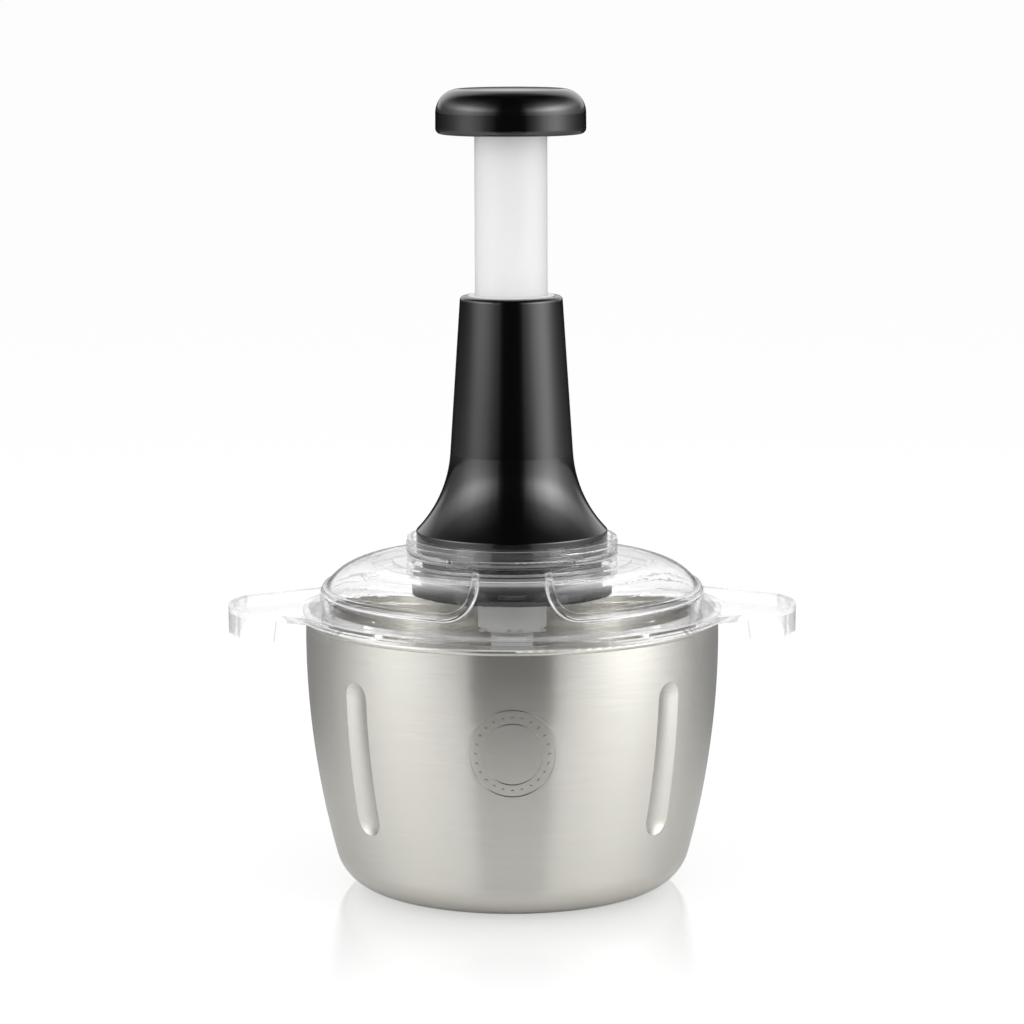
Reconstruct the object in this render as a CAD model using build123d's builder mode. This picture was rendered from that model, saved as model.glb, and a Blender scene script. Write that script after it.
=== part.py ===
"""Hand-pressed food chopper: steel bowl, clear lid, and a plunger that spins a stack of blades.

Millimetres, +Z up. The origin is the centre of the bowl's flat underside, and the lid's two
ears lie along X. Everything is drawn at rest: lid on, plunger up.
"""

import math
import os

from build123d import *

# --- Fits ---------------------------------------------------------------------------------
RUNNING_FIT = 0.05  # radial, a shaft turning or sliding in its bore
LOOSE_FIT = 0.15  # radial, pieces that are assembled and then stay put
SEAT_GAP = 0.3  # axial, between pieces that rest on each other but part easily
CUT_PAST = 1.0  # how far a cut runs on beyond the face it opens
SCREW_RECESS_REACH = 0.6  # a cross recess, as shares of its screw head's radius and height
SCREW_RECESS_WIDTH = 0.3
SCREW_RECESS_DEPTH = 0.5

# --- Bowl ---------------------------------------------------------------------------------
BOWL_HEIGHT = 110.4
BOWL_WALL = 0.9
BOWL_FOOT_RADIUS = 67.3  # where the side would meet the floor without its corner
BOWL_WAIST_RADIUS = 79.5
BOWL_WAIST_Z = 54.8
BOWL_RIM_RADIUS = 82.6
BOWL_CORNER_RADIUS = 17.5
RIM_BEAD_RADIUS = 1.4

FLUTE_ANGLE = 47.5  # from the front and the back, to each side
FLUTE_TOOL_RADIUS = 14.0
FLUTE_DEPTH = 1.5
FLUTE_LOW_Z = 34.4
FLUTE_HIGH_Z = 85.3

MEDALLION_Z = 68.5
MEDALLION_RADIUS = 18.0
MEDALLION_LINE = 1.6
MEDALLION_INNER_RADIUS = 12.6
MEDALLION_INNER_LINE = 1.0
MEDALLION_STUD_RADIUS = 0.8
MEDALLION_STUD_COUNT = 24
MEDALLION_RELIEF = 0.5

# --- Lid ----------------------------------------------------------------------------------
LID_WALL = 2.2
LID_TOP_Z = 131.3
LID_DRUM_RADIUS = 76.2
LID_SHOULDER_REACH = 22.0
LID_SIDE_HEIGHT = 1.7  # the upright part of the drum's side, above the flange
LID_FLANGE_RADIUS = 87.2
LID_FLANGE_THICKNESS = 3.0
LID_SKIRT_DEPTH = 6.0
LID_SKIRT_WALL = 1.8
LID_SKIRT_CLEARANCE = 0.8

COLLAR_RADIUS = 42.0
COLLAR_WALL = 1.7
COLLAR_TOP_Z = 140.7
COLLAR_RIB_HEIGHT = 0.4
COLLAR_RIB_PITCH = 2.2
COLLAR_RIB_COUNT = 3
COLLAR_RIB_LOW_Z = 134.2
COLLAR_FOOT_RADIUS = 48.0
COLLAR_FOOT_HEIGHT = 0.6

LEDGE_INNER_RADIUS = 27.0
LEDGE_TOP_Z = 136.4
LEDGE_THICKNESS = 2.4

BEAD_WIDTH = 3.4
BEAD_HEIGHT = 1.2
BEAD_ROUND = 1.1
BEAD_HALF_GAP = 12.6  # from the centre plane to the bead's near edge
BEAD_Z = 118.4  # underside of the bead's level run
BEAD_CORNER_RADIUS = 14.0

EAR_REACH = 113.85
EAR_ROOT_HALF_WIDTH = 41.0
EAR_ROOT_X = 72.0
EAR_TIP_HALF_WIDTH = 19.0
EAR_TIP_BULGE = 6.0
EAR_CORNER_RADIUS = 9.0
EAR_THICKNESS = 2.6
EAR_LIP_DEPTH = 10.8
EAR_LIP_WALL = 2.2
EAR_LIP_START_X = 92.5
EAR_LIP_SLANT = 1.4  # how much further out the lip starts at its lower edge

# --- Head: housing, guide and base --------------------------------------------------------
HOUSING_TOP_Z = 237.2
HOUSING_TOP_RADIUS = 20.35
HOUSING_WAIST_Z = 174.5
HOUSING_WAIST_RADIUS = 24.5
HOUSING_FLARE_Z = 143.5
HOUSING_FLARE_RADIUS = 38.15
HOUSING_BAND_RADIUS = 38.3
HOUSING_BAND_STEP = 0.4
HOUSING_WALL = 2.4
HOUSING_TOP_ROUND = 1.8
HOUSING_LIP = 2.0
HOUSING_LIP_CLEARANCE = 0.9
HOUSING_BOSS_TOP_Z = 150.0
HOUSING_BOSS_CAP = 2.2  # solid above each boss's screw hole

GUIDE_LENGTH = 16.0
GUIDE_PROUD = 0.4
GUIDE_WALL = 2.7

KEY_WIDTH = 3.0
KEY_DEPTH = 0.8  # how far each key runs into the tube's flange
KEY_RUN_ON = 0.7  # how far the keys go on below the plunger's lowest place
KEY_CLEARANCE = 0.4

BASE_RADIUS = 39.7
BASE_BOTTOM_Z = 119.5
BASE_WALL = 2.4
BASE_FLOOR = 2.5
BASE_EDGE_ROUND = 0.8
BASE_DISC_HEIGHT = 6.1
BASE_NECK_RADIUS = 36.0
BASE_BOSS_RADIUS = 11.5
BASE_BOSS_HEIGHT = 5.5

SCREW_CIRCLE_RADIUS = 31.5
SCREW_COUNT = 4
SCREW_START_ANGLE = 45.0
SCREW_RADIUS = 1.5
SCREW_LENGTH = 22.0
SCREW_HEAD_RADIUS = 2.9
SCREW_HEAD_HEIGHT = 2.2
SCREW_HEAD_INSET = 0.4
SCREW_POST_RADIUS = 3.8

# --- Plunger ------------------------------------------------------------------------------
STROKE = 62.0
TUBE_RADIUS = 14.4
TUBE_WALL = 2.4
TUBE_TOP_Z = 310.0
TUBE_CROWN = 7.0
TUBE_FLANGE_RADIUS = 17.0
TUBE_FLANGE_THICKNESS = 3.0
RETAINER_THICKNESS = 1.6
RETAINER_BORE = 6.5
RETAINER_SCREW_CIRCLE_RADIUS = 15.0
RETAINER_SCREW_COUNT = 3
RETAINER_SCREW_RADIUS = 0.8
RETAINER_SCREW_HEAD_RADIUS = 1.4
RETAINER_SCREW_HEAD_HEIGHT = 0.9
RETAINER_SCREW_LENGTH = 2.8

KNOB_BOTTOM_Z = 301.1
KNOB_TOP_Z = 319.2
KNOB_RADIUS = 29.8
KNOB_DRAFT = 0.1
KNOB_TOP_ROUND = 9.5
KNOB_BOTTOM_ROUND = 2.3
KNOB_CROWN = 0.8
KNOB_WALL = 2.5
KNOB_SHOULDER = 1.2
KNOB_CAVITY_ROUND = 7.0
INSERT_RECESS = 0.4
INSERT_WEB = 2.4
INSERT_HUB_WALL = 2.6
BOLT_RADIUS = 2.0
BOLT_HEAD_RADIUS = 3.8
BOLT_HEAD_HEIGHT = 2.6
BOLT_LENGTH = 6.0  # its threaded part, below the insert's web
BOLT_SOCKET = 4.0  # across flats

# --- Spiral drive -------------------------------------------------------------------------
LEAD = 32.0  # plunger travel for one turn of the rod
STRIP_WIDTH = 9.0
STRIP_THICKNESS = 2.2
STRIP_BOTTOM_Z = 138.0
STRIP_TOP_Z = 228.0
NUT_LENGTH = 8.0
NUT_RADIUS = 12.9
NUT_FLAT = 12.0  # from the axis to each flat
NUT_FIT = 0.2
PIN_FIT = 0.03

PIN_Z = 140.4
PIN_RADIUS = 1.0
HUB_HEIGHT = 6.4
HUB_RADIUS = 12.0
TOOTH_COUNT = 6
TOOTH_HEIGHT = 1.4
TOOTH_INNER_RADIUS = 8.6
TOOTH_BACKLASH = 1.0  # degrees
CLUTCH_RING_HEIGHT = 2.6
CLUTCH_HEX = 14.0  # across flats
CLUTCH_HEX_CLEARANCE = 0.2

DRIVER_JOURNAL_RADIUS = 7.0
DRIVER_FLANGE_RADIUS = 12.0
DRIVER_FLANGE_THICKNESS = 1.6
DRIVER_HEX = 12.0  # across flats
DRIVER_HEX_LENGTH = 7.0
DRIVER_HEX_CHAMFER = 0.8
BUSH_WALL = 2.0
WASHER_THICKNESS = 0.7

CUP_WALL = 1.2
CUP_BORE_CLEARANCE = 0.6
CUP_TOP_THICKNESS = 2.0
CUP_FLANGE_RADIUS = 22.0
CUP_FLANGE_THICKNESS = 2.0
CUP_FLANGE_Z = 130.0
CUP_SCREW_CIRCLE_RADIUS = 18.6
CUP_SCREW_COUNT = 3
CUP_SCREW_START_ANGLE = 0.0
CUP_SCREW_RADIUS = 1.1
CUP_SCREW_HEAD_RADIUS = 2.0
CUP_SCREW_HEAD_HEIGHT = 1.2
CUP_SCREW_LENGTH = 6.0
CUP_POST_RADIUS = 3.0

SPRING_SEAT_GAP = 0.1
RETURN_WIRE = 1.3
RETURN_MEAN_RADIUS = 15.2
RETURN_TURNS = 9
CLUTCH_WIRE = 0.8
CLUTCH_MEAN_RADIUS = 9.4
CLUTCH_TURNS = 3

# --- Blade assembly -----------------------------------------------------------------------
SPINDLE_CUP_RADIUS = 13.8
SPINDLE_CUP_HEIGHT = 16.2
SPINDLE_CUP_ROUND = 1.6
SPINDLE_NECK_RADIUS = 8.4
SOCKET_CLEARANCE = 0.3  # per flat, between the driver's hexagon and the spindle's socket
SOCKET_DEPTH = 8.0
BLADE_SHAFT_RADIUS = 7.0
BLADE_SHAFT_FLAT = 5.6  # from the axis to each flat
BLADE_LOW_Z = 13.0
BLADE_SPACING = 23.0
BLADE_THICKNESS = 1.2
BLADE_SWEEP_RADIUS = 62.0
BLADE_BEND_RADIUS = 10.5
BLADE_ROOT_WIDTH = 17.0
BLADE_TILTS = {"lower": -3.0, "middle": 7.0, "upper": 9.0}
BLADE_TURNS = {"lower": 0.0, "middle": 90.0, "upper": 0.0}
BLADE_TIP_WIDTH = 2.4
CUTTING_BEVEL = 2.6
CUTTING_BELLY = 0.55  # where along the wing the cutting edge is fullest
BLADE_FIT = 0.1
BLADE_NUT_RADIUS = 10.0
BLADE_NUT_FLOOR = 2.0
BLADE_NUT_CHAMFER = 1.0
PIVOT_RADIUS = 3.0
PIVOT_TOP_Z = 24.0
PIVOT_FLANGE_RADIUS = 9.0
PIVOT_FLANGE_THICKNESS = 1.2
PIVOT_BUSH_WALL = 1.2
PIVOT_BUSH_LENGTH = 16.0

# --- Places worked out from the sizes above -----------------------------------------------
lid_seat_z = BOWL_HEIGHT + SEAT_GAP
flange_top_z = lid_seat_z + LID_FLANGE_THICKNESS
ledge_bottom_z = LEDGE_TOP_Z - LEDGE_THICKNESS
collar_bore = COLLAR_RADIUS - COLLAR_WALL
shoulder_drop = LID_TOP_Z - flange_top_z - LID_SIDE_HEIGHT
skirt_radius = BOWL_RIM_RADIUS - BOWL_WALL - LID_SKIRT_CLEARANCE
ear_lip_bottom_z = flange_top_z - EAR_LIP_DEPTH

guide_bottom_z = HOUSING_TOP_Z - GUIDE_LENGTH
guide_outer_radius = TUBE_RADIUS + RUNNING_FIT + GUIDE_WALL
lip_bottom_z = guide_bottom_z - HOUSING_LIP
tube_flange_top_z = lip_bottom_z - SEAT_GAP
tube_bottom_z = tube_flange_top_z - TUBE_FLANGE_THICKNESS
retainer_bottom_z = tube_bottom_z - RETAINER_THICKNESS
tube_bore = TUBE_RADIUS - TUBE_WALL
key_inner_radius = TUBE_FLANGE_RADIUS - KEY_DEPTH
key_low_z = retainer_bottom_z - STROKE - KEY_RUN_ON

journal_bore = DRIVER_JOURNAL_RADIUS + RUNNING_FIT
output_bush_radius = journal_bore + BUSH_WALL
bush_top_z = BASE_BOTTOM_Z + BASE_BOSS_HEIGHT
driver_flange_z = bush_top_z + WASHER_THICKNESS + RUNNING_FIT
hub_bottom_z = PIN_Z - HUB_HEIGHT / 2
ring_top_z = hub_bottom_z - TOOTH_HEIGHT - LOOSE_FIT
ring_bottom_z = ring_top_z - CLUTCH_RING_HEIGHT
cup_bore = HUB_RADIUS + CUP_BORE_CLEARANCE
cup_top_z = hub_bottom_z + HUB_HEIGHT + SEAT_GAP + CUP_TOP_THICKNESS
cup_flange_top_z = CUP_FLANGE_Z + CUP_FLANGE_THICKNESS

knob_insert_z = KNOB_BOTTOM_Z + INSERT_RECESS
insert_flange_top_z = knob_insert_z + INSERT_WEB
insert_top_z = TUBE_TOP_Z + INSERT_WEB
bolt_bottom_z = TUBE_TOP_Z - BOLT_LENGTH
knob_cavity_radius = KNOB_RADIUS - KNOB_WALL

spindle_top_z = BASE_BOTTOM_Z - SEAT_GAP
spindle_cup_z = spindle_top_z - SPINDLE_CUP_HEIGHT
blade_levels = {
    "lower": BLADE_LOW_Z,
    "middle": BLADE_LOW_Z + BLADE_SPACING,
    "upper": BLADE_LOW_Z + 2 * BLADE_SPACING,
}
neck_bottom_z = blade_levels["upper"] + BLADE_THICKNESS
pivot_flange_top_z = BOWL_WALL + PIVOT_FLANGE_THICKNESS
blade_nut_bottom_z = pivot_flange_top_z + SEAT_GAP
blade_shaft_bottom_z = blade_nut_bottom_z + BLADE_NUT_FLOOR
pivot_bush_top_z = blade_shaft_bottom_z + PIVOT_BUSH_LENGTH
pivot_bore = PIVOT_RADIUS + RUNNING_FIT
pivot_bush_radius = pivot_bore + PIVOT_BUSH_WALL


# --- Shapes used more than once -----------------------------------------------------------
def direction(angle):
    """The level unit vector at an angle in degrees from +X."""
    return Vector(math.cos(math.radians(angle)), math.sin(math.radians(angle)), 0)


def upright_plane(angle):
    """The plane through the axis at an angle: its X runs outwards and its Y runs up."""
    return Plane((0, 0, 0), x_dir=direction(angle), z_dir=direction(angle - 90))


def plane_across(angle, radius, z):
    """The plane square to a radius at an angle: its X runs round the axis and its Y runs up."""
    outwards = direction(angle)
    return Plane(outwards * radius + Vector(0, 0, z), x_dir=direction(angle + 90), z_dir=outwards)


def add_ring(low, high, outer, inner=0.0, mode=Mode.ADD):
    """Add a cylinder, or a ring if it has an inner radius, between two heights."""
    with BuildSketch(Plane.XY.offset(low)) as section:
        Circle(outer)
        if inner:
            Circle(inner, mode=Mode.SUBTRACT)
    extrude(section.sketch, amount=high - low, mode=mode)


def add_studs(low, high, radius, circle, count, start_angle, mode=Mode.ADD):
    """Add equal cylinders between two heights, evenly spaced on a circle."""
    with BuildSketch(Plane.XY.offset(low)) as section:
        with PolarLocations(circle, count, start_angle):
            Circle(radius)
    extrude(section.sketch, amount=high - low, mode=mode)


def add_hexagon(low, high, across_flats, mode=Mode.ADD):
    """Add a hexagonal bar between two heights."""
    with BuildSketch(Plane.XY.offset(low)) as section:
        RegularPolygon(across_flats / 2, 6, major_radius=False)
    extrude(section.sketch, amount=high - low, mode=mode)


def add_flatted_shaft(low, high, growth=0.0, mode=Mode.ADD):
    """Add the blade shaft's round section with its two flats, grown by a clearance."""
    with BuildSketch(Plane.XY.offset(low)) as section:
        Circle(BLADE_SHAFT_RADIUS + growth)
        Rectangle(
            2 * (BLADE_SHAFT_RADIUS + growth), 2 * (BLADE_SHAFT_FLAT + growth), mode=Mode.INTERSECT
        )
    extrude(section.sketch, amount=high - low, mode=mode)


def add_twisted_strip(low, high, growth=0.0, mode=Mode.ADD):
    """Add the spiral strip, grown by a clearance. Its flat lies along X at the pin's height."""
    turn_at_low = 360 * (low - PIN_Z) / LEAD
    with BuildSketch(Plane.XY.offset(low)) as section:
        Rectangle(STRIP_WIDTH + 2 * growth, STRIP_THICKNESS + 2 * growth, rotation=turn_at_low)
    strip = Solid.extrude_linear_with_rotation(
        section.sketch.faces()[0], (0, 0, low), (0, 0, high - low), 360 * (high - low) / LEAD
    )
    add(strip, mode=mode)


def add_ratchet_teeth(low, upward, turn=0.0):
    """Add the ring of ramp teeth. Their upright faces push the ring round on the down-stroke."""
    for index in range(TOOTH_COUNT):
        angle = 360 / TOOTH_COUNT * index + turn
        sections = []
        for radius in (TOOTH_INNER_RADIUS, HUB_RADIUS * math.cos(math.pi / TOOTH_COUNT)):
            half = radius * math.tan(math.pi / TOOTH_COUNT)
            with BuildSketch(plane_across(angle, radius, low)) as section:
                with BuildLine():
                    if upward:
                        Polyline((-half, 0), (half, 0), (-half, TOOTH_HEIGHT), close=True)
                    else:
                        Polyline((half, 0), (half, TOOTH_HEIGHT), (-half, TOOTH_HEIGHT), close=True)
                make_face()
            sections.append(section.sketch.faces()[0])
        loft(sections)


def wall_radius_at(z):
    """The bowl's outer radius at a height, on the arc through its foot, waist and rim."""
    foot = Vector(BOWL_FOOT_RADIUS, 0)
    waist = Vector(BOWL_WAIST_RADIUS, BOWL_WAIST_Z)
    rim = Vector(BOWL_RIM_RADIUS, BOWL_HEIGHT)
    side = Edge.make_three_point_arc(foot, waist, rim)
    centre, radius = side.arc_center, side.radius
    return centre.X + math.sqrt(radius**2 - (z - centre.Y) ** 2)


def add_bowl_body(inset, floor_z, corner_radius, mode=Mode.ADD):
    """Add the bowl's round body, drawn in from its outside by a wall's thickness."""
    top_z = BOWL_HEIGHT + inset
    with BuildSketch(Plane.XZ) as section:
        with BuildLine():
            foot = (wall_radius_at(floor_z) - inset, floor_z)
            waist = (BOWL_WAIST_RADIUS - inset, BOWL_WAIST_Z)
            rim = (wall_radius_at(top_z) - inset, top_z)
            ThreePointArc(foot, waist, rim)
            Polyline(rim, (0, top_z), (0, floor_z), foot)
        make_face()
        corner = section.vertices().group_by(Axis.Y)[0].sort_by(Axis.X)[-1]
        fillet(corner, corner_radius)
    revolve(section.sketch, Axis.Z, mode=mode)


def add_flutes(growth):
    """Press the upright flutes into the body. Each tool is a rod bent to the wall's curve."""
    heights = (FLUTE_LOW_Z, (FLUTE_LOW_Z + FLUTE_HIGH_Z) / 2, FLUTE_HIGH_Z)
    stand_off = FLUTE_TOOL_RADIUS - FLUTE_DEPTH
    for angle in (FLUTE_ANGLE, 180 - FLUTE_ANGLE, 180 + FLUTE_ANGLE, 360 - FLUTE_ANGLE):
        with BuildLine(upright_plane(270 + angle)) as route:
            ThreePointArc(*[(wall_radius_at(z) + stand_off, z) for z in heights])
        radius = FLUTE_TOOL_RADIUS + growth
        with BuildSketch(Plane(route.line @ 0, z_dir=route.line % 0)) as section:
            Circle(radius)
        sweep(section.sketch, route.line, mode=Mode.SUBTRACT)
        with Locations(route.line @ 0, route.line @ 1):
            Sphere(radius, mode=Mode.SUBTRACT)


def add_lid_drum(inset, bottom_z, mode=Mode.ADD):
    """Add the lid's flat-topped drum, drawn in from its outside by a thickness."""
    side_radius = LID_DRUM_RADIUS - inset
    top_z = LID_TOP_Z - inset
    shoulder_x = LID_DRUM_RADIUS - LID_SHOULDER_REACH
    shoulder_z = LID_TOP_Z - shoulder_drop
    with BuildSketch(Plane.XZ) as section:
        with BuildLine():
            EllipticalCenterArc(
                (shoulder_x, shoulder_z),
                LID_SHOULDER_REACH - inset,
                shoulder_drop - inset,
                start_angle=0,
                arc_size=90,
            )
            Polyline(
                (shoulder_x, top_z),
                (0, top_z),
                (0, bottom_z),
                (side_radius, bottom_z),
                (side_radius, shoulder_z),
            )
        make_face()
    revolve(section.sketch, Axis.Z, mode=mode)


def housing_outline(inset, top_z):
    """Draw the housing's taper and flare, drawn in from the outside, down to its band."""
    top = (HOUSING_TOP_RADIUS - inset, top_z)
    waist = (HOUSING_WAIST_RADIUS - inset, HOUSING_WAIST_Z)
    flare = (HOUSING_FLARE_RADIUS - inset, HOUSING_FLARE_Z)
    taper = Vector(waist[0] - HOUSING_TOP_RADIUS + inset, HOUSING_WAIST_Z - HOUSING_TOP_Z)
    Line(top, waist)
    TangentArc(waist, flare, tangent=taper)
    band_radius = HOUSING_BAND_RADIUS - inset
    Polyline(
        flare,
        (band_radius, HOUSING_FLARE_Z - HOUSING_BAND_STEP),
        (band_radius, LEDGE_TOP_Z),
        (0, LEDGE_TOP_Z),
        (0, top_z),
        top,
    )


def add_coil(low, high, mean_radius, wire, turns):
    """Add a compression spring's coil between two heights."""
    with BuildLine(Plane.XY.offset(low + wire / 2)) as route:
        Helix((high - low - wire) / turns, high - low - wire, mean_radius)
    with BuildSketch(Plane(route.line @ 0, z_dir=route.line % 0)) as section:
        Circle(wire / 2)
    sweep(section.sketch, route.line, is_frenet=True)


def add_screws(face_z, radius, head_radius, head_height, length, circle, count, start, flip=1):
    """Add cross-headed screws on a circle. flip is 1 for heads below, -1 for heads above."""
    shank_low, shank_high = sorted((face_z, face_z + flip * (head_height + length)))
    low, high = sorted((face_z, face_z + flip * head_height))
    add_studs(shank_low, shank_high, radius, circle, count, start)
    add_studs(low, high, head_radius, circle, count, start)
    reach, width = 2 * SCREW_RECESS_REACH * head_radius, SCREW_RECESS_WIDTH * head_radius
    with BuildSketch(Plane.XY.offset(face_z)) as recess:
        with PolarLocations(circle, count, start):
            Rectangle(reach, width)
            Rectangle(width, reach)
    depth = flip * SCREW_RECESS_DEPTH * head_height
    extrude(recess.sketch, amount=depth, mode=Mode.SUBTRACT)


# --- Bowl and its pivot -------------------------------------------------------------------
with BuildPart() as bowl_inside:
    add_bowl_body(BOWL_WALL, BOWL_WALL, BOWL_CORNER_RADIUS - BOWL_WALL)
    add_flutes(BOWL_WALL)

# A plain round medallion of two rings and a circle of studs, raised on the front.
with BuildPart() as medallion:
    add_bowl_body(-MEDALLION_RELIEF, 0, BOWL_CORNER_RADIUS)
    with BuildSketch(Plane.XZ) as rings:
        with Locations((0, MEDALLION_Z)):
            Circle(MEDALLION_RADIUS)
            Circle(MEDALLION_RADIUS - MEDALLION_LINE, mode=Mode.SUBTRACT)
            Circle(MEDALLION_INNER_RADIUS)
            Circle(MEDALLION_INNER_RADIUS - MEDALLION_INNER_LINE, mode=Mode.SUBTRACT)
            stud_circle = (MEDALLION_RADIUS - MEDALLION_LINE + MEDALLION_INNER_RADIUS) / 2
            with PolarLocations(stud_circle, MEDALLION_STUD_COUNT):
                Circle(MEDALLION_STUD_RADIUS)
    extrude(rings.sketch, amount=2 * BOWL_RIM_RADIUS, mode=Mode.INTERSECT)

with BuildPart() as bowl:
    add_bowl_body(0, 0, BOWL_CORNER_RADIUS)
    add(medallion.part)
    add_flutes(0)
    with BuildSketch(Plane.XZ) as rim_bead:
        with Locations((BOWL_RIM_RADIUS, BOWL_HEIGHT - RIM_BEAD_RADIUS)):
            Circle(RIM_BEAD_RADIUS)
    revolve(rim_bead.sketch, Axis.Z)
    add(bowl_inside.part, mode=Mode.SUBTRACT)

with BuildPart() as pivot_pin:
    add_ring(BOWL_WALL, pivot_flange_top_z, PIVOT_FLANGE_RADIUS)
    add_ring(pivot_flange_top_z, PIVOT_TOP_Z, PIVOT_RADIUS)
    fillet(pivot_pin.edges().sort_by(Axis.Z)[-1], PIVOT_RADIUS / 2)

# --- Blade assembly -----------------------------------------------------------------------
with BuildPart() as blade_spindle:
    add_ring(spindle_cup_z, spindle_top_z, SPINDLE_CUP_RADIUS)
    fillet(blade_spindle.edges().sort_by(Axis.Z)[0], SPINDLE_CUP_ROUND)
    add_ring(neck_bottom_z, spindle_cup_z + SPINDLE_CUP_ROUND, SPINDLE_NECK_RADIUS)
    add_flatted_shaft(blade_shaft_bottom_z, neck_bottom_z)
    add_hexagon(
        spindle_top_z - SOCKET_DEPTH,
        spindle_top_z,
        DRIVER_HEX + 2 * SOCKET_CLEARANCE,
        mode=Mode.SUBTRACT,
    )
    bush_seat = pivot_bush_radius + PIN_FIT
    add_ring(blade_shaft_bottom_z, pivot_bush_top_z, bush_seat, mode=Mode.SUBTRACT)
    pin_hole_top_z = PIVOT_TOP_Z + SEAT_GAP
    add_ring(pivot_bush_top_z, pin_hole_top_z, PIVOT_RADIUS + LOOSE_FIT, mode=Mode.SUBTRACT)

with BuildPart() as pivot_bush:
    add_ring(blade_shaft_bottom_z, pivot_bush_top_z, pivot_bush_radius, pivot_bore)

with BuildPart() as blade_nut:
    add_ring(blade_nut_bottom_z, BLADE_LOW_Z, BLADE_NUT_RADIUS, PIVOT_RADIUS + LOOSE_FIT)
    add_ring(
        blade_shaft_bottom_z, BLADE_LOW_Z, BLADE_SHAFT_RADIUS + RUNNING_FIT, mode=Mode.SUBTRACT
    )
    outer_edge = blade_nut.edges().group_by(Axis.Z)[0].sort_by(SortBy.RADIUS)[-1]
    chamfer(outer_edge, BLADE_NUT_CHAMFER)


def wing_outline(plane, length, bevel):
    """Draw a blade's wing on a plane, its cutting side drawn back by a bevel."""
    half_root, half_tip = BLADE_ROOT_WIDTH / 2, BLADE_TIP_WIDTH / 2
    root_front, root_back = (-BLADE_THICKNESS, half_root), (-BLADE_THICKNESS, -half_root)
    tip_front, tip_back = (length, half_tip - bevel / 2), (length, -half_tip)
    with BuildSketch(plane) as wing:
        with BuildLine():
            belly = (length * CUTTING_BELLY, half_root - bevel)
            ThreePointArc(root_front, belly, tip_front)
            Line(tip_front, tip_back)
            ThreePointArc(tip_back, (length / 2, -half_root / 2), root_back)
            Line(root_back, root_front)
        make_face()
    return wing.sketch.faces()[0]


def make_blade(level, tilt, turn):
    """One stamped blade: a flat middle and two curved wings, bent up or down from it."""
    wing_length = (BLADE_SWEEP_RADIUS - BLADE_BEND_RADIUS) / math.cos(math.radians(tilt))
    with BuildPart() as blade:
        with BuildSketch(Plane((0, 0, level), x_dir=direction(turn), z_dir=(0, 0, 1))) as middle:
            Rectangle(2 * BLADE_BEND_RADIUS, BLADE_ROOT_WIDTH)
        extrude(middle.sketch, amount=BLADE_THICKNESS)
        for angle in (turn, turn + 180):
            outwards = direction(angle)
            along = (outwards + Vector(0, 0, math.tan(math.radians(tilt)))).normalized()
            underside = Plane(
                outwards * BLADE_BEND_RADIUS + Vector(0, 0, level),
                x_dir=along,
                z_dir=along.cross(direction(angle + 90)),
            )
            topside = underside.offset(BLADE_THICKNESS)
            loft(
                [
                    wing_outline(underside, wing_length, 0),
                    wing_outline(topside, wing_length, CUTTING_BEVEL),
                ]
            )
        low, high = level - CUT_PAST, level + BLADE_THICKNESS + CUT_PAST
        add_flatted_shaft(low, high, BLADE_FIT, mode=Mode.SUBTRACT)
    return blade


blades = {
    name: make_blade(blade_levels[name], BLADE_TILTS[name], BLADE_TURNS[name])
    for name in blade_levels
}

spacers = {}
for name, below, above in (("lower", "lower", "middle"), ("upper", "middle", "upper")):
    with BuildPart() as spacer:
        low, high = blade_levels[below] + BLADE_THICKNESS, blade_levels[above]
        add_ring(low, high, SPINDLE_NECK_RADIUS)
        add_flatted_shaft(low, high, BLADE_FIT, mode=Mode.SUBTRACT)
    spacers[name] = spacer

# --- Lid ----------------------------------------------------------------------------------
# The beads follow the drum's surface, and from the front each is the edge of a rounded panel.
with BuildPart() as lid_beads:
    add_lid_drum(-BEAD_HEIGHT, flange_top_z)
    with BuildSketch(Plane.XZ) as bead_view:
        for growth, mode in ((0, Mode.ADD), (BEAD_WIDTH, Mode.SUBTRACT)):
            near, far = BEAD_HALF_GAP + growth, LID_FLANGE_RADIUS
            low, high = BEAD_Z + growth, COLLAR_TOP_Z
            for side in (-1, 1):
                with BuildLine() as panel:
                    corner = BEAD_CORNER_RADIUS - growth
                    FilletPolyline(
                        (side * far, low), (side * near, low), (side * near, high), radius=corner
                    )
                    Polyline((side * near, high), (side * far, high), (side * far, low))
                make_face(panel.edges(), mode=mode)
    extrude(bead_view.sketch, amount=LID_FLANGE_RADIUS, both=True, mode=Mode.INTERSECT)
    fillet(lid_beads.edges().filter_by(GeomType.BSPLINE), BEAD_ROUND)


def ear_outline(side, inset=0.0):
    """Draw one ear in plan, drawn in by an inset."""
    tip_x = EAR_REACH - EAR_TIP_BULGE
    with BuildLine() as edge:
        Line((side * EAR_ROOT_X, -EAR_ROOT_HALF_WIDTH), (side * tip_x, -EAR_TIP_HALF_WIDTH))
        ThreePointArc(
            (side * tip_x, -EAR_TIP_HALF_WIDTH),
            (side * EAR_REACH, 0),
            (side * tip_x, EAR_TIP_HALF_WIDTH),
        )
        Polyline(
            (side * tip_x, EAR_TIP_HALF_WIDTH),
            (side * EAR_ROOT_X, EAR_ROOT_HALF_WIDTH),
            (side * EAR_ROOT_X, -EAR_ROOT_HALF_WIDTH),
        )
    with BuildSketch() as outline:
        make_face(edge.edges())
        tips = outline.vertices().filter_by(lambda v: abs(abs(v.X) - tip_x) < 0.01)
        fillet(tips, EAR_CORNER_RADIUS)
        if inset:
            offset(amount=-inset)
    return outline.sketch


def ear_rim_outline(side):
    """Draw the wall along an ear's edge, in plan."""
    with BuildSketch() as outline:
        add(ear_outline(side))
        add(ear_outline(side, EAR_LIP_WALL), mode=Mode.SUBTRACT)
    return outline.sketch


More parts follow.
